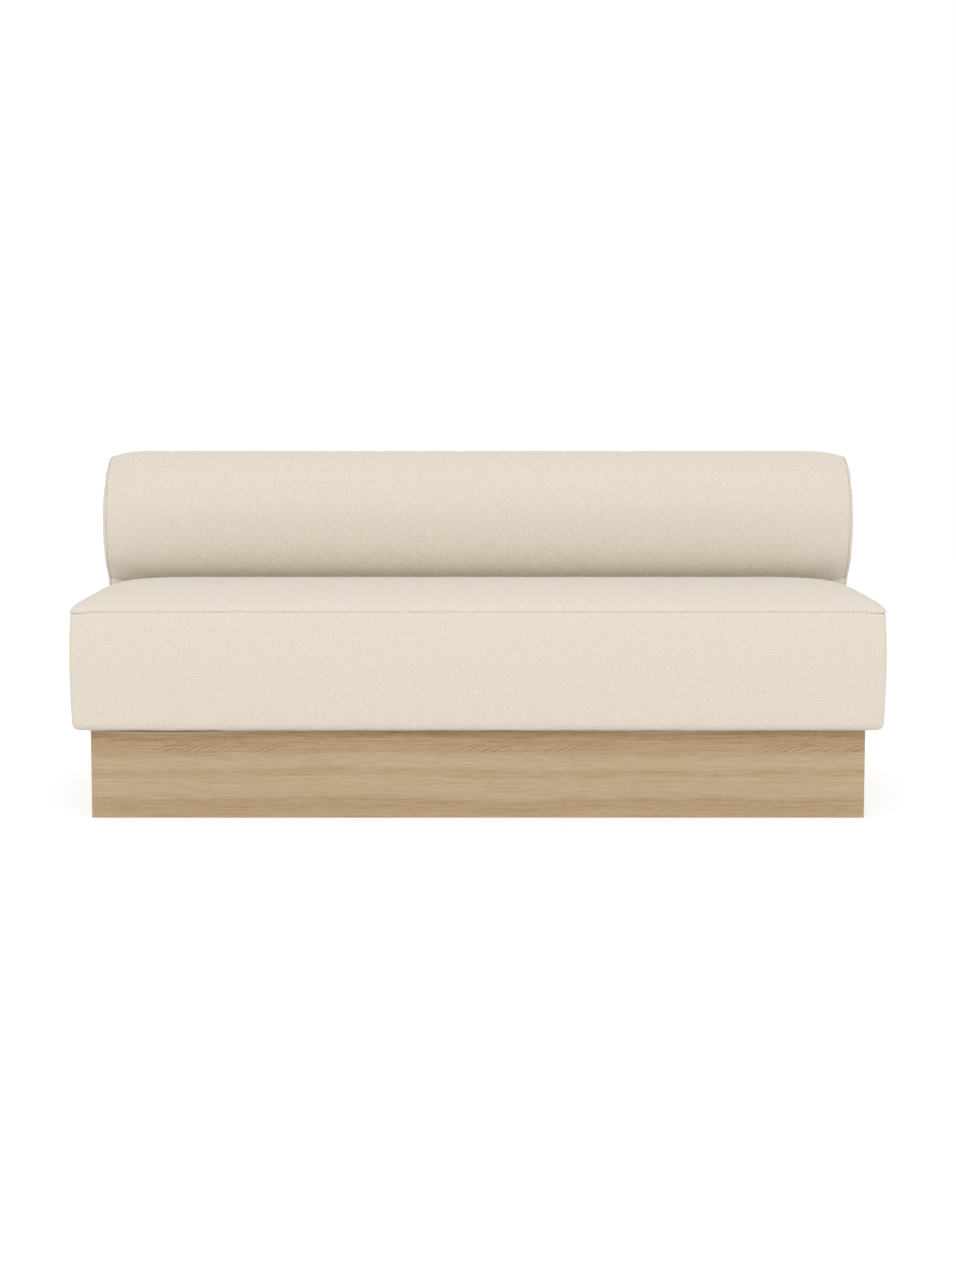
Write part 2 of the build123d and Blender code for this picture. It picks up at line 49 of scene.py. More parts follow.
# Places taken from the frame
seat_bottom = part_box("seat_cover_border")[0].z
seam_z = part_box("seat_cover_border")[1].z
crown_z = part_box("seat_cover_top")[1].z
neck_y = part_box("seat_cover_top")[1].y
foam_rear_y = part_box("seat_foam_base")[1].y
webbing_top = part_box("seat_foam_base")[0].z
back_half_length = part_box("back_cover_main")[1].x
nose_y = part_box("back_cover_main")[0].y
rear_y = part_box("back_cover_main")[1].y
roll_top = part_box("back_cover_main")[1].z
cap_face_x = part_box("back_cover_right_end")[1].x
skin_low, skin_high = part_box("back_skin")
rear_panel_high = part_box("back_rear_panel")[1]
plinth_half_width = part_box("plinth_front_board")[1].x
plinth_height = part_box("plinth_front_board")[1].z

# Cover: thickness, and the small folds where two cloths are sewn together
cover_thickness = 0.003
fit_gap = 0.0003
foam_inset = cover_thickness + fit_gap
seam_fold = 0.0018
seam_fold_height = 0.003
seam_band_height = 0.03
seam_turn = 0.001
seam_level_spread = 0.02
seam_wander = ((14, 0.5, 0.0004), (55, 3.5, 0.00025))

# Seat: plan corners, bulge of the border, and shape of the crown
front_y = -rear_y
half_width = back_half_length
plan_corner_radius = 0.008
underside_radius = 0.012
underside_rounding_height = 0.016
underside_rounding_count = 8
underside_return = 0.030
frame_inset = 0.016
border_bulge = 0.0034
border_bulge_power = 1.15
underside_sag = 0.0018
plinth_gap = 0.004
plan_corner_shares = (0, 0.2, 0.45, 0.7, 1, 1.6)
join_half_width = 0.0006
join_fold = 0.0022
cushion_swell = 0.0011
crown_rise = crown_z - seam_z - cushion_swell
crown_reach_share = 0.42
crown_corner_share = 0.35
crown_shape_shares = (
    (0.005, 0),
    (-0.001, 0.05),
    (-0.002, 0.1),
    (0.002, 0.21),
    (0.018, 0.32),
    (0.055, 0.44),
    (0.11, 0.57),
    (0.17, 0.69),
    (0.26, 0.82),
    (0.45, 0.92),
    (0.72, 0.98),
    (1, 1),
)
crease_fall_start = 0.0
crease_fall_depth = 0.012
end_fall_start = -0.1
end_fall_depth = 0.008
end_fall_length = 0.2
corner_dip = 0.0032
corner_dip_reach = 0.038
corner_ear = 0.0034
corner_ear_reach = 0.016
corner_ear_height = 0.0055
corner_ear_spread = 0.004

# Back: its tucked underside, rounded ends and puffed end caps
roll_radius = (rear_y - nose_y) / 2
roll_centre_y = nose_y + roll_radius
roll_centre_z = roll_top - roll_radius
tuck_radius = 0.072
tuck_rise = 0.026
crease_depth = 0.004
crease_end_rise = 0.0185
crease_end_length = 0.11
roll_top_flat = 0.014
tuck_centre_y = nose_y + tuck_radius
tuck_centre_z = seam_z + tuck_rise + tuck_radius
rear_corner_radius = roll_radius - roll_top_flat
back_neck_y = tuck_centre_y + crease_depth
end_rounding_length = 0.082
end_rounding_drop = 0.011
end_rounding_power = 2.2
rear_drop_share = 0.35
cap_puff = cap_face_x - back_half_length - 0.0008
cap_top_flatness = 0.14
cap_edge_reach = 0.016
cap_foot_height = 0.016
cap_foot_share = 0.3
cap_crown_reach = 0.06
cap_centre = np.array((roll_centre_y + 0.03, roll_centre_z - 0.03))
cap_face_shares = (0.86, 0.72, 0.58, 0.44, 0.3, 0.16)
structure_half_length = skin_high.x
end_station_step = 0.009
overhang_start = 0.003
overhang_step = 0.006
underside_count = 18
hem_height = 0.0022
underside_fullness = 2.3

# Webbing and dust cover
strap_width = 0.06
strap_thickness = 0.0014
strap_rise = 0.55 * strap_thickness
strap_bend_reach = 0.55 * strap_width
cross_strap_count = 13
long_strap_count = 4
dust_cover_thickness = 0.0006
dust_cover_drop = 0.0001
dust_cover_step = 0.03

# Spacing of the meshes
mesh_step = 0.014
ring_count = 22
ring_spread = 1.7
ring_gap = 0.0005
ring_spacing = 0.0011
seam_ring_shares = (0.0025, 0.011)

# Cloth under pressure: slack, pressure, and how far a point may move
settle_frames = 20
settle_quality = 6
cushion_settling = (0.004, 3, 0.0012)
border_settling = (0.003, 2, 0.0008)
roll_settling = (0.003, 2, 0.0012)
cap_settling = (0.002, 1.5, 0.003)

# How firmly a point is held: fully where it is sewn
sewn = 1
sewn_height = 0.002
cushion_hold = 0.25
border_hold = 0.2
roll_hold = 0.25
cap_hold = 0.1

# Pitch and unevenness of the yarns, in the cover and in the webbing
column_pitch = 0.00448
row_pitch = 0.00307
yarn_drift = 0.0007
yarn_unevenness = 0.0018
falling_share = 0.53
float_flatness = 0.45
strap_rib_pitch = 0.0021
strap_thread_pitch = 0.0015
strap_stripe_place = 0.017
strap_stripe_width = 0.0044

# Veneer: light and dark banding up the board, painted shade darkening its top under the seat's overhang,
# and a figure in one strip that repeats leaf by leaf
oak_band_and_top_shade_shares = (
    (0, 0.62),
    (0.05, 0.56),
    (0.1, 0.48),
    (0.2, 0.47),
    (0.24, 0.68),
    (0.44, 0.68),
    (0.5, 0.5),
    (0.58, 0.73),
    (0.68, 0.66),
    (0.74, 0.47),
    # The last stops darken the board's top. This is painted shade under the seat's overhang, not a band of
    # the veneer.
    (0.86, 0.41),
    (0.94, 0.27),
    (1, 0.06),
)
leaf_length = 0.615
figure_start = 0.06
figure_low = 0.137
figure_high = 0.162
figure_run = 0.046
figure_strength = 0.68
stroke_pitch = 0.021
band_wobble = 0.03
plywood_layer = 0.0028

# Studio
floor_half_size = 7
floor_drop = 0.0003
floor_lit = 0.84
floor_seen = 0.45
floor_glow = 0.62
sky_lit = 0.985
light_place = (0, -5.0, 2.4)
light_target = (0, 0, 0.4)
light_size = (5, 2.2)
light_power = 68
camera_place = (0, -5.3456, 0.9022)
camera_pitch = 6.057
camera_lens = 69.36


# Lines and meshes

def smooth_line(points, spans=8):
    """A dense smooth line through points."""
    p = np.array(points, float)
    ends = np.vstack([2 * p[0] - p[1], p, 2 * p[-1] - p[-2]])
    line = []
    for a, b, c, d in zip(ends, ends[1:], ends[2:], ends[3:]):
        for t in np.arange(spans) / spans:
            bend = (2 * a - 5 * b + 4 * c - d) * t**2 + (3 * b - a - 3 * c + d) * t**3
            line.append((2 * b + (c - a) * t + bend) / 2)
    return np.vstack([line, p[-1:]])


def run_lengths(line):
    """How far along the line each of its points lies."""
    steps = np.linalg.norm(np.diff(line, axis=0), axis=1)
    return np.concatenate([[0], np.cumsum(steps)])


def along(line, shares):
    """Points at shares of a line's length."""
    run = run_lengths(line)
    at = np.asarray(shares) * run[-1]
    return np.stack([np.interp(at, run, column) for column in line.T], axis=1)


def even(low, high, step=mesh_step):
    """Evenly spaced places from low to high, both ends included."""
    return np.linspace(low, high, max(1, round(abs(high - low) / step)) + 1)


def eased(x, y, half_x, half_y, inset):
    """A point on the seat's outline at an inset, moved onto its rounded corner."""
    radius = plan_corner_radius + crown_corner_share * max(inset, 0)
    over_x = abs(x) - (half_x - radius)
    over_y = abs(y) - (half_y - radius)
    if over_x <= 0 or over_y <= 0:
        return x, y
    run = math.hypot(over_x, over_y)
    return (
        math.copysign(half_x - radius + over_x * radius / run, x),
        math.copysign(half_y - radius + over_y * radius / run, y),
    )


def mesh_object(name, points, faces, cloth=None):
    """A smooth-shaded mesh, with its cloth coordinates as an attribute."""
    mesh = bpy.data.meshes.new(name)
    mesh.from_pydata([tuple(p) for p in points], [], [tuple(f) for f in faces])
    mesh.validate()
    mesh.shade_smooth()
    if cloth is not None:
        layer = mesh.attributes.new("cloth", "FLOAT_VECTOR", "POINT")
        layer.data.foreach_set("vector", np.asarray(cloth, float).ravel())
    obj = bpy.data.objects.new(name, mesh)
    scene.collection.objects.link(obj)
    return obj


def strip_faces(first, second, closed=False):
    """Faces between two rows of vertex numbers."""
    last = len(first) if closed else len(first) - 1
    return [
        (first[k], first[(k + 1) % len(first)], second[(k + 1) % len(second)], second[k])
        for k in range(last)
    ]


def vertex_rows(count, size, start=0):
    """Numbers of a grid's vertices, row by row."""
    return [[start + k * size + n for n in range(size)] for k in range(count)]


def tube_faces(rows):
    """Faces between closed rows of vertex numbers."""
    faces = []
    for first, second in zip(rows, rows[1:]):
        faces += strip_faces(first, second, closed=True)
    return faces


def recalculate(obj):
    """Turns all faces outwards."""
    shape = bmesh.new()
    shape.from_mesh(obj.data)
    bmesh.ops.recalc_face_normals(shape, faces=shape.faces)
    shape.to_mesh(obj.data)
    shape.free()


def apply_modifiers(obj):
    """Puts what the modifiers make into the mesh."""
    evaluated = obj.evaluated_get(bpy.context.evaluated_depsgraph_get())
    mesh = bpy.data.meshes.new_from_object(evaluated)
    obj.modifiers.clear()
    obj.data = mesh


def smooth_out(obj):
    """Subdivides the mesh once and keeps the result."""
    finer = obj.modifiers.new("finer", "SUBSURF")
    finer.levels = finer.render_levels = 1
    apply_modifiers(obj)
    obj.data.shade_smooth()


def add_cloth(obj, held, slack, pressure):
    """Gives the piece a Cloth modifier that swells it, with its held points pinned."""
    group = obj.vertex_groups.new(name="held")
    for index, weight in enumerate(held):
        group.add([index], float(weight), "REPLACE")
    cloth = obj.modifiers.new("settle", "CLOTH")
    settings = cloth.settings
    settings.quality = settle_quality
    settings.vertex_group_mass = group.name
    settings.pin_stiffness = 1
    settings.shrink_min = -slack
    settings.use_pressure = True
    settings.uniform_pressure_force = pressure
    settings.effector_weights.gravity = 0
    cloth.point_cache.frame_start = 1
    cloth.point_cache.frame_end = settle_frames


def point_places(mesh):
    """All the mesh's points in one row of numbers."""
    places = np.empty(len(mesh.vertices) * 3)
    mesh.vertices.foreach_get("co", places)
    return places


def settle(obj, held, settling):
    """Lets the cloth of a piece swell and crease under pressure, while its held points stay."""
    slack, pressure, reach = settling
    start = point_places(obj.data)
    add_cloth(obj, held, slack, pressure)
    for number in range(1, settle_frames + 1):
        scene.frame_set(number)
    end = point_places(obj.evaluated_get(bpy.context.evaluated_depsgraph_get()).data)
    obj.modifiers.clear()
    obj.vertex_groups.clear()
    scene.frame_set(1)
    moved = (end - start).reshape(-1, 3)
    size = np.linalg.norm(moved, axis=1, keepdims=True)
    moved *= reach * np.tanh(size / reach) / np.maximum(size, 1e-9)
    obj.data.vertices.foreach_set("co", start + moved.ravel())
    obj.data.update()
    print(f"{obj.name}: cloth moved {size.max() * 1000:.1f} mm at most")


def make_soft(obj, held, settling):
    """Settles a closed mesh as cloth, and smooths it."""
    recalculate(obj)
    settle(obj, held, settling)
    smooth_out(obj)


# Seat cushion

def corner_nearness(x, y, reach):
    """1 at a plan corner of the seat, falling to 0 beyond the reach."""
    gap = math.hypot(half_width - abs(x), abs(y) + front_y)
    return math.exp(-((gap / reach) ** 2))


def seam_moved(point):
    """The seam's small wander, and its dip and ear at the front corners."""
    x, y, z = point
    level = math.exp(-(((z - seam_z) / seam_level_spread) ** 2))
    wander = 0
    for scale, place, size in seam_wander:
        wander += noise.noise(Vector((x * scale, y * scale, place))) * size
    if z > seam_z - seam_fold_height / 3:
        lift = math.exp(-(((z - seam_z - corner_ear_height) / corner_ear_spread) ** 2))
        out = corner_ear * corner_nearness(x, y, corner_ear_reach) * lift / math.sqrt(2)
        x += math.copysign(out, x)
        y += math.copysign(out, y)
    z += level * (wander - corner_dip * corner_nearness(*point[:2], corner_dip_reach))
    return x, y, z


def crease_fall(x, y, z):
    """How far the crown has fallen, on its way back to the crease and more so at its ends."""
    way = max(0, (y - crease_fall_start) / (back_neck_y - crease_fall_start))
    end_way = max(0, (y - end_fall_start) / (back_neck_y - end_fall_start))
    end = min(1, max(0, (abs(x) - half_width) / end_fall_length + 1))
    fall = crease_fall_depth * way**2 + end_fall_depth * end_way**2 * end * end * (3 - 2 * end)
    return fall * math.sqrt(max(0, (z - seam_z) / crown_rise))


def crown_rings():
    """Inset and height of each ring of the top panel, from the seam to the middle."""
    reach = crown_reach_share * (back_neck_y - front_y)
    line = smooth_line([(reach * i, seam_z + crown_rise * h) for i, h in crown_shape_shares])
    shares = np.linspace(0, 1, ring_count) ** ring_spread
    return along(line, np.union1d(shares, seam_ring_shares))


def spread_columns(half, envelope):
    """Places across a grid: close to both edges, and even in the middle."""
    edge = -(half - envelope)
    middle = even(edge[-1], -edge[-1])[1:-1]
    return np.concatenate([edge, middle, -edge[::-1]])


class CushionGrid:
    """Columns and rows of the top panel. Their crossings lie on rings, from the seam inwards."""

    def __init__(self):
        self.rings = crown_rings()
        self.last = len(self.rings) - 1
        self.run = run_lengths(self.rings)
        reach = np.maximum.accumulate(self.rings[:, 0])
        self.reach = np.maximum(reach, reach[0] + np.arange(len(reach)) * ring_spacing)
        self.half = half_width, (neck_y - front_y) / 2
        self.centre_y = (neck_y + front_y) / 2
        self.lines = [spread_columns(half, self.reach) for half in self.half]
        self.counts = [len(line) for line in self.lines]

    def line_ring(self, axis, index):
        """The ring that a column or row belongs to."""
        return min(index, self.counts[axis] - 1 - index, self.last)

    def crossings(self):
        """Every crossing's column and row, with its ring."""
        for i in range(self.counts[0]):
            for j in range(self.counts[1]):
                yield i, j, min(self.line_ring(0, i), self.line_ring(1, j))

    def place(self, i, j, ring, inset):
        """Where a crossing lies when its ring is drawn in by the inset."""
        half_x, half_y = self.half
        x = self.lines[0][i] * (half_x - inset) / (half_x - self.reach[ring])
        y = self.lines[1][j] * (half_y - inset) / (half_y - self.reach[ring])
        x, y = eased(x, y, half_x - inset, half_y - inset, inset)
        return x, y + self.centre_y

    def flat(self, axis, index):
        """Where a column or row lies in the flat cloth, which runs on over the crown's slope."""
        line, ring = self.lines[axis], self.line_ring(axis, index)
        if ring == self.last:
            return line[index]
        side = -1 if index < len(line) / 2 else 1
        return side * (abs(line[self.last]) + self.run[-1] - self.run[ring])

    def edge(self):
        """The outermost crossings, once round."""
        last_i, last_j = self.counts[0] - 1, self.counts[1] - 1
        loop = [(i, 0) for i in range(last_i)] + [(last_i, j) for j in range(last_j)]
        loop += [(i, last_j) for i in range(last_i, 0, -1)]
        return loop + [(0, j) for j in range(last_j, 0, -1)]


def cushion_faces(grid, numbers):
    """Faces of the top panel, of its base, and of the sides between them."""
    faces = []
    for level in ("top", "base"):
        for i in range(grid.counts[0] - 1):
            for j in range(grid.counts[1] - 1):
                corners = ((i, j), (i + 1, j), (i + 1, j + 1), (i, j + 1))
                faces.append([numbers[level, *corner] for corner in corners])
    loops = [[numbers[level, *corner] for corner in grid.edge()] for level in ("top", "lip", "base")]
    return faces + tube_faces(loops)


def seat_cushion():
    """Crowned top panel over the seat's foam, a closed form down to the webbing."""
    grid = CushionGrid()
    points, cloth, held, numbers = [], [], [], {}

    def add(level, i, j, point, hold):
        numbers[level, i, j] = len(points)
        points.append(point)
        cloth.append((grid.flat(0, i), grid.flat(1, j), 0))
        held.append(hold)

    for i, j, ring in grid.crossings():
        inset, height = grid.rings[ring]
        x, y = grid.place(i, j, ring, inset)
        point = seam_moved((x, y, height - crease_fall(x, y, height)))
        add("top", i, j, point, cushion_hold if ring else sewn)
    for level, z in (("lip", seam_z - seam_fold_height), ("base", webbing_top)):
        for i, j, ring in grid.crossings():
            if ring == 0 or level == "base":
                inset = max(foam_inset + ring * ring_gap, grid.rings[ring, 0])
                add(level, i, j, (*grid.place(i, j, ring, inset), z), sewn)
    obj = mesh_object("seat_cushion", points, cushion_faces(grid, numbers), cloth)
    make_soft(obj, held, cushion_settling)
    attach(obj, "sofa")
    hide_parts("seat_cover_top", "seat_foam_crown", "seat_foam_base")
    return obj


# Seat border

def border_section():
    """The border in section as a closed loop of inset and height, and how many points are outside."""
    height = seam_z - seat_bottom

    def bulge(rise):
        share = max(0, rise / height)
        return border_bulge * math.sin(math.pi * share**border_bulge_power)

    plinth_inset = half_width - plinth_half_width
    low = seat_bottom - underside_sag
    outer = [
        (plinth_inset - plinth_gap, seat_bottom),
        (plinth_inset - 2 * plinth_gap, seat_bottom - underside_sag / 2),
        (plinth_inset - 3.5 * plinth_gap, low),
    ]
    for angle in np.linspace(0, math.pi / 2, underside_rounding_count):
        rise = underside_rounding_height * (1 - math.cos(angle))
        outer.append((underside_radius * (1 - math.sin(angle)) - bulge(rise), low + rise))
    for z in even(low + underside_rounding_height, seam_z - seam_fold_height)[1:]:
        outer.append((-bulge(z - seat_bottom), z))
    for share in (0.5, 0.85):
        outer.append((seam_fold * share**2, seam_z - seam_fold_height * (1 - share)))
    inner = [
        (cover_thickness, seam_z - seam_fold_height / 2),
        (cover_thickness, seam_z - seam_band_height),
        (cover_thickness, webbing_top - fit_gap),
        (frame_inset - fit_gap, webbing_top - fit_gap),
        (frame_inset - fit_gap, seat_bottom + cover_thickness + fit_gap),
        (frame_inset + underside_return, seat_bottom + cover_thickness),
        (frame_inset + underside_return, seat_bottom),
    ]
    return outer, inner


def perimeter():
    """Places round the seat's plan, from the middle of the rear and back to it."""
    depth = rear_y
    near = plan_corner_radius * np.array(plan_corner_shares)
    xs = spread_columns(half_width, near)
    ys = spread_columns(depth, near)
    rear_half = np.concatenate([[join_half_width], xs[xs > 2 * join_half_width]])[:-1]
    places = [(x, depth) for x in -rear_half]
    places += [(-half_width, y) for y in ys[::-1]]
    places += [(x, -depth) for x in xs[1:]]
    places += [(half_width, y) for y in ys[1:]]
    places += [(x, depth) for x in rear_half[::-1]]
    return places


def seat_border():
    """Padded border round the seat box, from the seam down and under."""
    outer, inner = border_section()
    section = outer + inner
    run = run_lengths(np.array(section))
    places = perimeter()
    points, cloth, held = [], [], []
    for (px, py), distance in zip(places, run_lengths(np.array(places))):
        joined = abs(px) < 2 * join_half_width and py > 0
        for number, (inset, z) in enumerate(section):
            if joined and number < len(outer):
                inset += join_fold
            half_x, half_y = half_width - inset, rear_y - inset
            x, y = eased(px * half_x / half_width, py * half_y / rear_y, half_x, half_y, inset)
            points.append(seam_moved((x, y, z)))
            cloth.append((distance, run[number], 0))
            free = 2 <= number < len(outer) - 1
            held.append(border_hold if free else sewn)
    rows = vertex_rows(len(places), len(section))
    obj = mesh_object("seat_border", points, tube_faces(rows + rows[:1]), cloth)
    make_soft(obj, held, border_settling)
    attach(obj, "sofa")
    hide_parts("seat_cover_border", *[f"seat_padding_{s}" for s in ("front", "back", "left", "right")])
    return obj


# Back

def arc_points(centre, radius, start, turn, count):
    angles = np.radians(np.linspace(start, start + turn, count + 1))
    return [(centre[0] + radius * math.cos(a), centre[1] + radius * math.sin(a)) for a in angles]


def line_points(a, b, count):
    return [tuple(np.array(a) + (np.array(b) - a) * k / count) for k in range(count + 1)]


def soft_underside(inward, lift):
    """Padded underside and nose of the roll: a full bend that leaves at 45 degrees into the crease."""
    power = underside_fullness
    low = tuck_radius - inward
    high = roll_centre_z - tuck_centre_z + tuck_radius - lift
    ratio = (low / high) ** (power / (power - 1))
    drop = ((ratio / low) ** power + high**-power) ** (-1 / power)
    bend = []
    for turn in np.linspace(math.asin((drop / high) ** (power / 2)), 0, underside_count + 1):
        y = tuck_centre_y - low * math.cos(turn) ** (2 / power)
        bend.append((y, roll_centre_z - high * math.sin(turn) ** (2 / power)))
    foot = (tuck_centre_y, roll_centre_z - drop - ratio * drop)
    line = smooth_line([foot] + bend)
    return [tuple(point) for point in along(line, np.linspace(0, 1, underside_count + 1))]


def wooden_underside(inward, lift):
    """Underside of the wooden back: a short bend under an upright nose, with as many points."""
    nose = nose_y + inward
    bend = arc_points((tuck_centre_y, tuck_centre_z), tuck_radius - inward, 270, -90, underside_count - 5)
    return bend + line_points((nose, tuck_centre_z), (nose, roll_centre_z), 5)[1:]


def back_outline(inward, neck_inward, rear_inward, rear_radius, bottom, raised=0, underside=soft_underside):
    """Section of the back from the foot of its neck round to the foot of its rear."""
    front_radius = roll_radius - inward
    top = roll_centre_z + front_radius
    lift = neck_inward + raised if underside is soft_underside else inward
    bend = underside(inward, lift)
    shelf = bend[0][1]
    neck, rear = back_neck_y + neck_inward, rear_y - rear_inward
    parts = [
        line_points((neck, bottom), (neck, shelf), 3),
        line_points((neck, shelf), (tuck_centre_y, shelf), 1),
        bend,
        arc_points((roll_centre_y, roll_centre_z), front_radius, 180, -90, 18),
        line_points((roll_centre_y, top), (rear - rear_radius, top), 1),
        arc_points((rear - rear_radius, top - rear_radius), rear_radius, 90, -90, 14),
        line_points((rear, top - rear_radius), (rear, bottom + hem_height), 10) + [(rear, bottom)],
    ]
    outline = [parts[0][0]]
    for part in parts:
        outline += part[1:]
    return outline


def end_drop(x):
    """How far the roll draws in towards its ends."""
    share = max(0, (abs(x) - back_half_length + end_rounding_length) / end_rounding_length)
    return end_rounding_drop * share**end_rounding_power


def crease_rise(x):
    """How far the crease under the roll climbs towards its ends."""
    share = max(0, (abs(x) - back_half_length + crease_end_length) / crease_end_length)
    return crease_end_rise * share * share * (3 - 2 * share)


def roll_outline(x, distance, bottom=seam_z):
    drop = end_drop(x)
    inward = distance + drop
    rear_inward = distance + rear_drop_share * drop
    return back_outline(inward, distance, rear_inward, rear_corner_radius - inward, bottom, crease_rise(x))


def structure_outline():
    """Outer face of the bent skin and the rear panel, which the foam lies on."""
    inward = skin_low.y - nose_y - fit_gap
    neck = foam_rear_y + fit_gap - back_neck_y
    rear = rear_y - rear_panel_high.y - fit_gap
    radius = roll_top - inward - rear_panel_high.z
    return back_outline(inward, neck, rear, radius, seam_z, underside=wooden_underside)


def roll_stations():
    """Places along the back: how far the cloth is folded in, and whether wood is inside."""
    start = back_half_length - end_rounding_length
    inside = structure_half_length
    seam_start = back_half_length - seam_fold_height
    right = [(x, 0, True) for x in even(start, inside, end_station_step)]
    right += [(x, 0, False) for x in even(inside + overhang_start, seam_start, overhang_step)]
    right += [(back_half_length - seam_turn, seam_fold * 0.3, False), (back_half_length, seam_fold, False)]
    left = [(-x, fold, wood) for x, fold, wood in reversed(right)]
    middle = [(x, 0, True) for x in even(-start, start)[1:-1]]
    return left + middle + right


def back_roll():
    """The back's long cloth over its foam, from the neck round to the rear edge of the seat."""
    points, cloth, held = [], [], []
    inner_wood = structure_outline()
    count = len(inner_wood)
    stations = roll_stations()
    for x, fold, wood in stations:
        outer = roll_outline(x, fold)
        inner = inner_wood if wood else roll_outline(x, cover_thickness)
        run = list(run_lengths(np.array(outer)))
        points += [(x, y, z) for y, z in outer + inner[::-1]]
        cloth += [(x, distance, 0) for distance in run + run[::-1]]
        held += [sewn if fold or z < seam_z + sewn_height else roll_hold for y, z in outer]
        held += [sewn] * count
    rows = vertex_rows(len(stations), 2 * count)
    faces = tube_faces(rows)
    for row in (rows[0], rows[-1]):
        faces += strip_faces(row[:count], row[count:][::-1])
    obj = mesh_object("back_roll", points, faces, cloth)
    make_soft(obj, held, roll_settling)
    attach(obj, "sofa")
    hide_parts("back_cover_main", "back_foam_roll", "back_foam_rear")
    return obj


def cap_outline(distance, edge):
    drawn = distance + end_rounding_drop + edge
    rear = distance + rear_drop_share * end_rounding_drop + edge
    radius = rear_corner_radius - drawn
    return np.array(back_outline(drawn, distance + edge, rear, radius, seam_z, crease_end_rise))


def cap_outer_rings():
    """Rings of an end cap, from its seam out to its face and on to the face's middle."""
    shapes = (
        (0, 0, seam_fold * 0.8),
        (0.0006, 0, seam_fold * 0.15),
        (0.0022, 0, -0.0003),
        (0.0038, 0, 0),
        (cap_puff * 0.6, 0, 0.001),
        (cap_puff * 0.8, 0, 0.004),
        (cap_puff * 0.93, 0, 0.009),
        (cap_puff, 0, cap_edge_reach),
    )
    rings = [(back_half_length + out, cap_outline(distance, edge)) for out, distance, edge in shapes]
    face = rings[-1][1]
    for share in cap_face_shares:
        rings.append((back_half_length + cap_puff, cap_centre + (face - cap_centre) * share))
    return rings


def cap_inner_rings():
    """Rings of an end cap's foam, from the seam in to the last rib."""
    foam = cap_outline(foam_inset, 0)
    inside = structure_half_length + fit_gap
    half_way = cap_centre + (foam - cap_centre) * 0.5
    return [(back_half_length - seam_turn, foam), (inside, foam), (inside, half_way)]


def cap_puff_share(z):
    """How much of its puff the cap has at a height: none at the foot, and less at the top."""
    low = min(1, (z - seam_z + cap_foot_share * cap_foot_height) / cap_foot_height)
    high = min(1, max(0, (z - roll_centre_z + cap_crown_reach) / (roll_top - roll_centre_z)))
    return low * (2 - low) * (1 - cap_top_flatness * high)


def back_cap(side, sign):
    """Puffed end of the back, a closed form from its face in to the last rib."""
    outer, inner = cap_outer_rings(), cap_inner_rings()
    points, cloth, held = [], [], []
    for number, (x, outline) in enumerate(outer + inner):
        loose = 2 <= number < len(outer)
        for y, z in outline:
            puff = cap_puff_share(z) if x > back_half_length else 1
            points.append((sign * (back_half_length + (x - back_half_length) * puff), y, z))
            cloth.append((y, z, 0))
            held.append(cap_hold if loose and z >= seam_z + sewn_height else sewn)
    size = len(outer[0][1])
    rows = vertex_rows(len(outer + inner), size)
    order = rows[len(outer) - 1 :: -1] + rows[len(outer) :]
    faces = tube_faces(order)
    ends = ((order[0], cap_face_x, cap_hold), (order[-1], structure_half_length + fit_gap, sewn))
    for row, x, hold in ends:
        faces += [(row[k], row[(k + 1) % size], len(points)) for k in range(size)]
        points.append((sign * x, *cap_centre))
        cloth.append((*cap_centre, 0))
        held.append(hold)
    obj = mesh_object(f"back_{side}_cap", points, faces, cloth)
    make_soft(obj, held, cap_settling)
    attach(obj, "sofa")
    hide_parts(f"back_cover_{side}_end", f"back_foam_{side}_end")
    return obj


# Underside and webbing

def strap_wave(at, crossings, first):
    """How far a strap's middle rises or sinks, over one crossing and under the next."""
    wave = 0
    for number, place in enumerate(crossings):
        side = first if number % 2 else -first
        wave += side * math.exp(-(((at - place) / strap_bend_reach) ** 4))
    return strap_rise * wave


def strap_lines():
    """Middle lines of the crosswise straps and of the lengthwise ones."""
    low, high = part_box("seat_webbing_crosswise")
    long_low, long_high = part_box("seat_webbing_lengthwise")
    half = strap_width / 2
    xs = np.linspace(low.x + half, high.x - half, cross_strap_count)
    ys = np.linspace(long_low.y + half, long_high.y - half, long_strap_count)
    level = (low.z + long_high.z) / 2
    cross, lengthwise = [], []
    for number, x in enumerate(xs):
        first = 1 if number % 2 else -1
        cross.append([(x, y, level + strap_wave(y, ys, first)) for y in even(low.y, high.y)])
    for number, y in enumerate(ys):
        first = -1 if number % 2 else 1
        places = even(long_low.x, long_high.x)
        lengthwise.append([(x, y, level + strap_wave(x, xs, first)) for x in places])
    return cross, lengthwise


def strap_layer(node, lines, sideways):
    """One layer of flat straps, each with a middle line and a width to its sides."""
    corners = ((-1, -1), (-0.5, -1), (0.5, -1), (1, -1), (1, 1), (0.5, 1), (-0.5, 1), (-1, 1))
    points, faces, cloth = [], [], []
    for line in lines:
        rows = vertex_rows(len(line), len(corners), len(points))
        for place, distance in zip(line, run_lengths(np.array(line))):
            for across, up in corners:
                out = across * strap_width / 2
                points.append(np.array(place) + sideways * out + np.array((0, 0, up * strap_thickness / 2)))
                cloth.append((distance, out, 0))
        faces += tube_faces(rows) + [rows[0], rows[-1][::-1]]
    obj = mesh_object(node + "_straps", points, faces, cloth)
    recalculate(obj)
    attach(obj, "sofa")
    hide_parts(node)
    return obj


def webbing():
    """Elastic straps, laid over and under each other."""
    cross, lengthwise = strap_lines()
    return (
        strap_layer("seat_webbing_crosswise", cross, np.array((1, 0, 0))),
        strap_layer("seat_webbing_lengthwise", lengthwise, np.array((0, 1, 0))),
    )


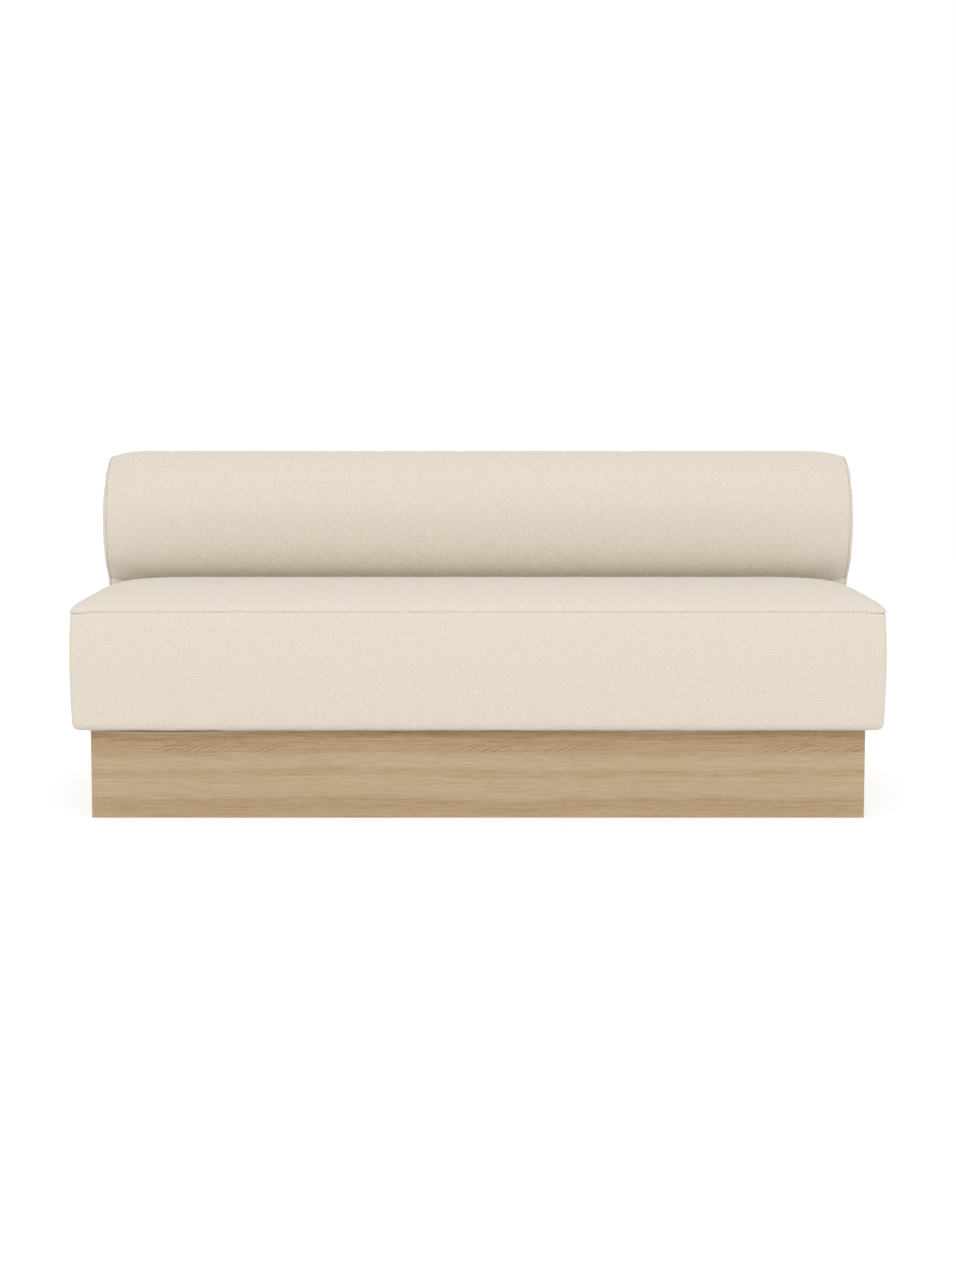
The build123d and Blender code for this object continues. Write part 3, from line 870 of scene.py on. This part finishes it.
def dust_cover():
    """Thin cloth stretched over the underside."""
    low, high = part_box("seat_dust_cover")
    xs, ys = even(low.x, high.x, dust_cover_step), even(low.y, high.y, dust_cover_step)
    top = high.z - dust_cover_drop
    points = [(x, y, z) for z in (top, top - dust_cover_thickness) for x in xs for y in ys]
    cloth = [(x, y, 0) for x, y, z in points]
    rows = vertex_rows(len(xs), len(ys))
    under = vertex_rows(len(xs), len(ys), len(xs) * len(ys))
    faces = []
    for layer in (rows, under):
        for first, second in zip(layer, layer[1:]):
            faces += strip_faces(first, second)
    loops = []
    for layer in (rows, under):
        loop = [row[0] for row in layer] + layer[-1][1:]
        loops.append(loop + [row[-1] for row in layer[-2::-1]] + layer[0][-2:0:-1])
    faces += tube_faces(loops)
    obj = mesh_object("dust_cover", points, faces, cloth)
    recalculate(obj)
    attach(obj, "sofa")
    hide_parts("seat_dust_cover")
    return obj


# Materials

class Nodes:
    """A node tree made node by node."""

    def __init__(self, owner):
        owner.use_nodes = True
        self.tree = owner.node_tree

    def node(self, kind, settings=(), **inputs):
        made = self.tree.nodes.new(kind)
        for key, value in dict(settings).items():
            setattr(made, key, value)
        self.fill(made, inputs)
        return made

    def fill(self, node, values):
        for key, value in values.items():
            self.put(node.inputs[key.replace("_", " ")], value)

    def put(self, socket, value):
        if isinstance(value, bpy.types.NodeSocket):
            self.tree.links.new(value, socket)
        else:
            socket.default_value = value

    def math(self, operation, a, b=0.0):
        made = self.tree.nodes.new("ShaderNodeMath")
        made.operation = operation
        self.put(made.inputs[0], a)
        self.put(made.inputs[1], b)
        return made.outputs[0]


class Material(Nodes):
    """A material and the steps that its pattern is made of."""

    def __init__(self, name):
        self.material = bpy.data.materials.new(name)
        super().__init__(self.material)
        self.shader = self.tree.nodes["Principled BSDF"]

    def add(self, first, *others):
        for other in others:
            first = self.math("ADD", first, other)
        return first

    def minus(self, a, b):
        return self.math("SUBTRACT", a, b)

    def times(self, a, b):
        return self.math("MULTIPLY", a, b)

    def wave(self, value, pitch):
        """A sine that repeats with the pitch."""
        return self.math("SINE", self.times(value, 2 * math.pi / pitch))

    def vector(self, operation, a, b=(0, 0, 0), scale=None):
        made = self.tree.nodes.new("ShaderNodeVectorMath")
        made.operation = operation
        self.put(made.inputs[0], a)
        self.put(made.inputs[1], b)
        if scale is not None:
            self.put(made.inputs["Scale"], scale)
        return made.outputs[0]

    def parts(self, vector):
        """The vector's X, Y and Z."""
        split = self.node("ShaderNodeSeparateXYZ", Vector=vector)
        return [split.outputs[axis] for axis in "XYZ"]

    def cloth_place(self):
        """Where a point lies in the flat cloth."""
        return self.node("ShaderNodeAttribute", {"attribute_name": "cloth"}).outputs["Vector"]

    def object_place(self):
        """Where a point lies in the piece's own coordinates."""
        return self.node("ShaderNodeTexCoord").outputs["Object"]

    def noise(self, vector, scale, detail=2.0, roughness=0.5, distortion=0.0, output="Fac"):
        made = self.node("ShaderNodeTexNoise", Vector=vector, Scale=scale, Detail=detail,
                         Roughness=roughness, Distortion=distortion)
        return made.outputs[output]

    def grain(self, place, scales, detail=2.0, roughness=0.5):
        """Noise with a scale of its own in each direction."""
        return self.noise(self.vector("MULTIPLY", place, scales), 1.0, detail, roughness)

    def line_noise(self, value, scale, detail=2.0, roughness=0.5):
        """Noise that runs along one value."""
        made = self.node("ShaderNodeTexNoise", {"noise_dimensions": "1D"}, W=value, Scale=scale,
                         Detail=detail, Roughness=roughness)
        return made.outputs["Fac"]

    def shift(self, vector, scale, distance):
        """A small way to the side that wanders with noise."""
        wander = self.noise(vector, scale, output="Color")
        return self.vector("SCALE", self.vector("SUBTRACT", wander, (0.5, 0.5, 0.5)), scale=distance)

    def ramp(self, value, stops):
        """Colours by value. Stops are places and colours."""
        made = self.node("ShaderNodeValToRGB", Fac=value)
        ramp = made.color_ramp
        while len(ramp.elements) < len(stops):
            ramp.elements.new(0.5)
        for element, (place, colour) in zip(ramp.elements, stops):
            element.position = place
            element.color = (*colour, 1)
        return made.outputs["Color"]

    def mix(self, share, a, b):
        made = self.node("ShaderNodeMix", {"data_type": "RGBA"})
        self.put(made.inputs["Factor"], share)
        for socket, value in ((made.inputs[6], a), (made.inputs[7], b)):
            if isinstance(value, tuple):
                value = (*value, 1)
            self.put(socket, value)
        return made.outputs[2]

    def map_range(self, value, low, high, to_low=0.0, to_high=1.0):
        made = self.node("ShaderNodeMapRange", Value=value, From_Min=low, From_Max=high,
                         To_Min=to_low, To_Max=to_high)
        return made.outputs[0]

    def finish(self, colour, height, distance, strength, **sockets):
        bump = self.node("ShaderNodeBump", Height=height, Distance=distance, Strength=strength)
        self.fill(self.shader, dict(sockets, Base_Color=colour, Normal=bump.outputs[0]))
        return self.material


def plain_weave(m, cloth, yarns):
    """Threads over and under: 1 on a warp float, -1 on a weft float, and the columns of floats."""
    x, y, _ = m.parts(yarns)
    across = m.times(x, math.pi / column_pitch)
    up = m.times(y, math.pi / row_pitch)
    falling = m.math("COSINE", m.add(across, up))
    rising = m.math("COSINE", m.minus(across, up))
    check = m.add(m.times(falling, falling_share), m.times(rising, 1 - falling_share))
    patches = m.map_range(m.noise(cloth, 60.0), 0.35, 0.65, 0.6, 1.2)
    return m.times(check, patches), m.math("COSINE", m.times(across, 2.0))


def cover_cloth():
    """Cream cloth in a thick plain weave, its warp floats higher and lighter than the weft."""
    m = Material("cover_cloth")
    cloth = m.cloth_place()
    yarns = m.vector("ADD", cloth, m.shift(cloth, 28.0, yarn_drift))
    yarns = m.vector("ADD", yarns, m.shift(cloth, 110.0, yarn_unevenness))
    check, columns = plain_weave(m, cloth, yarns)
    warp = m.math("POWER", m.math("MAXIMUM", check, 0.0), float_flatness)
    weft = m.math("POWER", m.math("MAXIMUM", m.times(check, -1.0), 0.0), float_flatness)
    fibre = m.noise(m.vector("MULTIPLY", yarns, (1, 0.35, 1)), 2600.0, 3.0, 0.65)
    slub = m.noise(yarns, 120.0)
    height = m.add(
        m.times(warp, 0.8),
        m.times(weft, 0.3),
        m.times(columns, 0.04),
        m.times(fibre, 0.35),
        m.times(slub, 0.25),
    )
    tone = m.add(
        m.times(warp, 0.5),
        m.times(weft, 0.1),
        m.times(columns, 0.01),
        0.09,
        m.map_range(fibre, 0.3, 0.7, -0.12, 0.12),
        m.map_range(slub, 0.3, 0.7, -0.05, 0.05),
    )
    colour = m.ramp(tone, (
        (0.0, (0.62, 0.54, 0.44)),
        (0.3, (0.725, 0.66, 0.575)),
        (0.65, (0.78, 0.73, 0.66)),
        (1.0, (0.815, 0.775, 0.72)),
    ))
    return m.finish(colour, height, 0.0008, 0.7, Roughness=0.92, Sheen_Weight=0.12, Sheen_Roughness=0.5,
                    Specular_IOR_Level=0.2)


def grain_place(m, axis):
    """The piece's own coordinates, turned so that the grain runs along X."""
    x, y, z = m.parts(m.object_place())
    first, second, third = {"x": (x, y, z), "y": (y, x, z), "z": (z, y, x)}[axis]
    return m.node("ShaderNodeCombineXYZ", X=first, Y=second, Z=third).outputs[0]


def oak(name, axis):
    """Pale oak veneer: fine fibres along the board, broad banding with painted shade along its top, and a
    cathedral figure that repeats.
    """
    m = Material(name)
    place = grain_place(m, axis)
    x, _, z = m.parts(place)
    wobble = m.grain(place, (2.2, 5, 5))
    level = m.add(z, m.times(m.minus(wobble, 0.5), band_wobble))
    # Tone up the board: veneer banding, plus painted shade that darkens the top where the seat overhangs it
    band_and_shade_curve = m.node("ShaderNodeFloatCurve", Value=m.math("DIVIDE", level, plinth_height))
    for share, tone in oak_band_and_top_shade_shares:
        band_and_shade_curve.mapping.curves[0].points.new(share, tone)
    band_and_shade_curve.mapping.update()
    rings = m.line_noise(level, 170.0, 3.0, 0.6)
    streak = m.grain(place, (7, 420, 420), 3.0, 0.65)
    fibre = m.grain(place, (45, 520, 520), 2.0, 0.6)
    pore_dark = m.map_range(m.grain(place, (60, 1500, 1500)), 0.62, 0.72)
    tone = m.add(
        band_and_shade_curve.outputs[0],
        m.map_range(rings, 0.3, 0.7, -0.06, 0.06),
        m.map_range(streak, 0.3, 0.7, -0.25, 0.25),
        m.map_range(fibre, 0.3, 0.7, -0.15, 0.15),
    )
    tone = m.minus(tone, m.times(cathedral(m, x, z), figure_strength))
    colour = m.ramp(tone, (
        (0.0, (0.285, 0.168, 0.076)),
        (0.3, (0.395, 0.266, 0.143)),
        (0.6, (0.45, 0.334, 0.2)),
        (1.0, (0.51, 0.405, 0.264)),
    ))
    colour = m.mix(m.times(pore_dark, 0.25), colour, (0.27, 0.17, 0.095))
    height = m.minus(m.times(streak, 0.4), pore_dark)
    rough = m.map_range(tone, 0.2, 0.8, 0.62, 0.5)
    return m.finish(colour, height, 0.00012, 0.5, Roughness=rough, Specular_IOR_Level=0.35)


def cathedral(m, x, z):
    """Short slanted strokes that run out into long fibres, in a strip of the board, leaf by leaf."""
    along_leaf = m.math("MODULO", m.add(x, 50 * leaf_length + figure_start), leaf_length)
    up = m.math("DIVIDE", m.minus(z, figure_low), figure_high - figure_low)
    left = m.math("MAXIMUM", m.minus(1.02, up), 0.02)
    bent = m.times(m.math("LOGARITHM", left, math.e), -figure_run)
    flow = m.minus(along_leaf, bent)
    phase = m.add(m.math("DIVIDE", flow, stroke_pitch), m.times(m.line_noise(x, 14.0), 1.5))
    stroke = m.math("POWER", m.math("MAXIMUM", m.wave(phase, 1), 0.0), 3.5)
    flame = m.map_range(m.line_noise(flow, 20.0, 1.0), 0.38, 0.56, 0.1, 1.0)
    in_leaf = m.times(m.map_range(along_leaf, 0.0, 0.05), m.map_range(along_leaf, 0.4, 0.22))
    in_strip = m.times(m.map_range(up, -0.08, 0.06), m.map_range(up, 1.0, 0.5))
    return m.times(m.times(stroke, flame), m.times(in_leaf, in_strip))


def softwood(name, axis):
    """Unfinished wood for the frame, planed, with soft rings."""
    m = Material(name)
    place = grain_place(m, axis)
    _, y, z = m.parts(place)
    bend = m.noise(m.vector("MULTIPLY", place, (1, 4, 4)), 3.0)
    rings = m.line_noise(m.add(z, y, m.times(bend, 0.06)), 140.0)
    streak = m.grain(place, (4, 200, 200), 3.0)
    tone = m.add(m.times(rings, 0.7), m.times(streak, 0.3))
    colour = m.mix(m.map_range(tone, 0.35, 0.65), (0.5, 0.33, 0.17), (0.66, 0.49, 0.3))
    return m.finish(colour, streak, 0.0002, 0.4, Roughness=0.7, Specular_IOR_Level=0.3)


def plywood(name, axis, thickness_axis):
    """Birch plywood, its layers showing at the edges."""
    m = Material(name)
    place = grain_place(m, axis)
    across = m.parts(m.object_place())["xyz".index(thickness_axis)]
    streak = m.grain(place, (5, 160, 160), 3.0)
    broad = m.noise(m.vector("MULTIPLY", place, (1, 6, 6)), 2.0)
    tone = m.add(m.times(streak, 0.6), m.times(broad, 0.4))
    face = m.mix(m.map_range(tone, 0.3, 0.7), (0.56, 0.42, 0.27), (0.72, 0.58, 0.41))
    layer = m.map_range(m.wave(across, plywood_layer), -0.2, 0.2, 0.0, 0.28)
    colour = m.mix(layer, face, (0.34, 0.22, 0.12))
    return m.finish(colour, streak, 0.00015, 0.4, Roughness=0.62, Specular_IOR_Level=0.3)


def zinc():
    """Galvanised steel with a fine spangle."""
    m = Material("zinc_steel")
    place = m.object_place()
    spangle = m.node("ShaderNodeTexVoronoi", Vector=place, Scale=420.0).outputs["Distance"]
    wear = m.noise(place, 60.0, 3.0)
    colour = m.mix(m.map_range(wear, 0.35, 0.65), (0.56, 0.57, 0.58), (0.72, 0.73, 0.74))
    rough = m.map_range(spangle, 0.0, 0.8, 0.28, 0.42)
    return m.finish(colour, wear, 0.0001, 0.3, Roughness=rough, Metallic=1.0)


def nylon():
    """Black moulded plastic, scuffed in places."""
    m = Material("black_nylon")
    place = m.object_place()
    grain = m.noise(place, 900.0, 3.0)
    scuff = m.noise(place, 70.0, 3.0)
    colour = m.mix(m.map_range(scuff, 0.4, 0.7), (0.018, 0.018, 0.019), (0.05, 0.05, 0.052))
    return m.finish(colour, grain, 0.0002, 0.4, Roughness=m.map_range(scuff, 0.3, 0.7, 0.42, 0.6))


def dust_cloth():
    """Black non-woven cloth with pressed dots and loose fibres."""
    m = Material("dust_cloth")
    place = m.cloth_place()
    dots = m.node("ShaderNodeTexVoronoi", Vector=place, Scale=650.0, Randomness=0.15).outputs["Distance"]
    fibres = m.noise(place, 1400.0, 4.0, 0.7, 1.5)
    colour = m.mix(m.map_range(fibres, 0.4, 0.65), (0.012, 0.012, 0.013), (0.055, 0.055, 0.057))
    height = m.add(m.map_range(dots, 0.1, 0.4), m.times(fibres, 0.6))
    return m.finish(colour, height, 0.0003, 0.5, Roughness=0.85, Specular_IOR_Level=0.25)


def strap_cloth():
    """Elastic webbing: pale ribs across the strap, with two dark stripes along it."""
    m = Material("webbing")
    place = m.cloth_place()
    x, y, _ = m.parts(place)
    away = m.math("ABSOLUTE", m.minus(m.math("ABSOLUTE", y), strap_stripe_place))
    stripe = m.math("LESS_THAN", away, strap_stripe_width / 2)
    fuzz = m.map_range(m.noise(place, 1800.0, 3.0), 0.3, 0.7)
    base = m.mix(fuzz, (0.42, 0.35, 0.25), (0.6, 0.53, 0.41))
    colour = m.mix(stripe, base, (0.05, 0.045, 0.04))
    height = m.add(m.wave(x, strap_rib_pitch), m.times(m.wave(y, strap_thread_pitch), 0.4))
    return m.finish(colour, height, 0.0004, 0.5, Roughness=0.9, Specular_IOR_Level=0.2)


def frame_finish(name):
    """The material of a CAD node: its maker, and what the maker is given."""
    low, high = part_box(name)
    sizes = dict(zip("xyz", high - low))
    long, thin = max(sizes, key=sizes.get), min(sizes, key=sizes.get)
    if name.startswith("plinth") and name.endswith("_board"):
        return oak, (f"oak_veneer_{long}", long)
    if name.startswith("foot_pad"):
        return nylon, ()
    if name.startswith(("foot_stem", "foot_nuts", "plinth_bolts", "back_angle")):
        return zinc, ()
    if name.startswith(("plinth_rib", "back_rib", "back_skin", "back_rear_panel")):
        return plywood, (f"birch_plywood_{long}{thin}", long, thin)
    return softwood, (f"softwood_{long}", long)


def dress_frame():
    """Gives every CAD node that stays its own kind of material."""
    made = {}
    for name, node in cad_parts.items():
        if node.hide_render:
            continue
        finish = frame_finish(name)
        if finish not in made:
            make, details = finish
            made[finish] = make(*details)
        if not node.material_slots:
            node.data.materials.append(made[finish])
        for place in node.material_slots:
            place.material = made[finish]


# Stage, light and camera

def light_path_white(n, lit, seen):
    """Mixes two shaders: lit for light that reaches the object, seen for what the camera meets."""
    path = n.node("ShaderNodeLightPath").outputs
    share = n.math("MAXIMUM", path["Is Camera Ray"], path["Is Glossy Ray"])
    share = n.math("MAXIMUM", share, path["Is Transmission Ray"])
    mixed = n.node("ShaderNodeMixShader")
    for socket, value in zip(mixed.inputs, (share, lit, seen)):
        n.put(socket, value)
    return mixed.outputs[0]


def studio_floor():
    """A pale floor that shows white, with the object's soft shadow kept."""
    x, z = floor_half_size, -floor_drop
    floor = mesh_object("studio_floor", [(-x, -x, z), (x, -x, z), (x, x, z), (-x, x, z)], [(0, 1, 2, 3)])
    material = bpy.data.materials.new("studio_floor")
    n = Nodes(material)
    n.tree.nodes.clear()
    lit, seen = [n.node("ShaderNodeBsdfDiffuse", Color=(grey, grey, grey, 1)).outputs[0]
                 for grey in (floor_lit, floor_seen)]
    glow = n.node("ShaderNodeEmission", Strength=floor_glow).outputs[0]
    both = n.node("ShaderNodeAddShader")
    n.put(both.inputs[0], seen)
    n.put(both.inputs[1], glow)
    n.node("ShaderNodeOutputMaterial", Surface=light_path_white(n, lit, both.outputs[0]))
    floor.data.materials.append(material)


def studio_world():
    """A white sky, a little dimmer where it lights the object."""
    scene.world = bpy.data.worlds.new("studio")
    n = Nodes(scene.world)
    n.tree.nodes.clear()
    lit, seen = [n.node("ShaderNodeBackground", Color=(1, 1, 1, 1), Strength=strength).outputs[0]
                 for strength in (sky_lit, 1.0)]
    n.node("ShaderNodeOutputWorld", Surface=light_path_white(n, lit, seen))


def studio_light():
    """One broad soft light from above the camera."""
    light = bpy.data.lights.new("front", "AREA")
    light.shape = "RECTANGLE"
    light.size, light.size_y = light_size
    light.energy = light_power
    obj = bpy.data.objects.new("front", light)
    obj.location = light_place
    obj.rotation_euler = (Vector(light_target) - Vector(light_place)).to_track_quat("-Z", "Y").to_euler()
    scene.collection.objects.link(obj)


def studio_camera():
    """The camera, at the photograph's viewing angle."""
    camera = bpy.data.cameras.new("camera")
    camera.sensor_fit = "VERTICAL"
    camera.sensor_height = 36
    camera.lens = camera_lens
    obj = bpy.data.objects.new("camera", camera)
    obj.location = camera_place
    obj.rotation_euler = (math.radians(90 - camera_pitch), 0, 0)
    scene.collection.objects.link(obj)
    scene.camera = obj
    scene.view_settings.view_transform = "Standard"


# The sofa

covers = [
    seat_cushion(),
    seat_border(),
    back_roll(),
    back_cap("left", -1),
    back_cap("right", 1),
]
cream = cover_cloth()
for piece in covers:
    piece.data.materials.append(cream)
straps = strap_cloth()
for piece in webbing():
    piece.data.materials.append(straps)
dust_cover().data.materials.append(dust_cloth())
dress_frame()
studio_floor()
studio_world()
studio_light()
studio_camera()
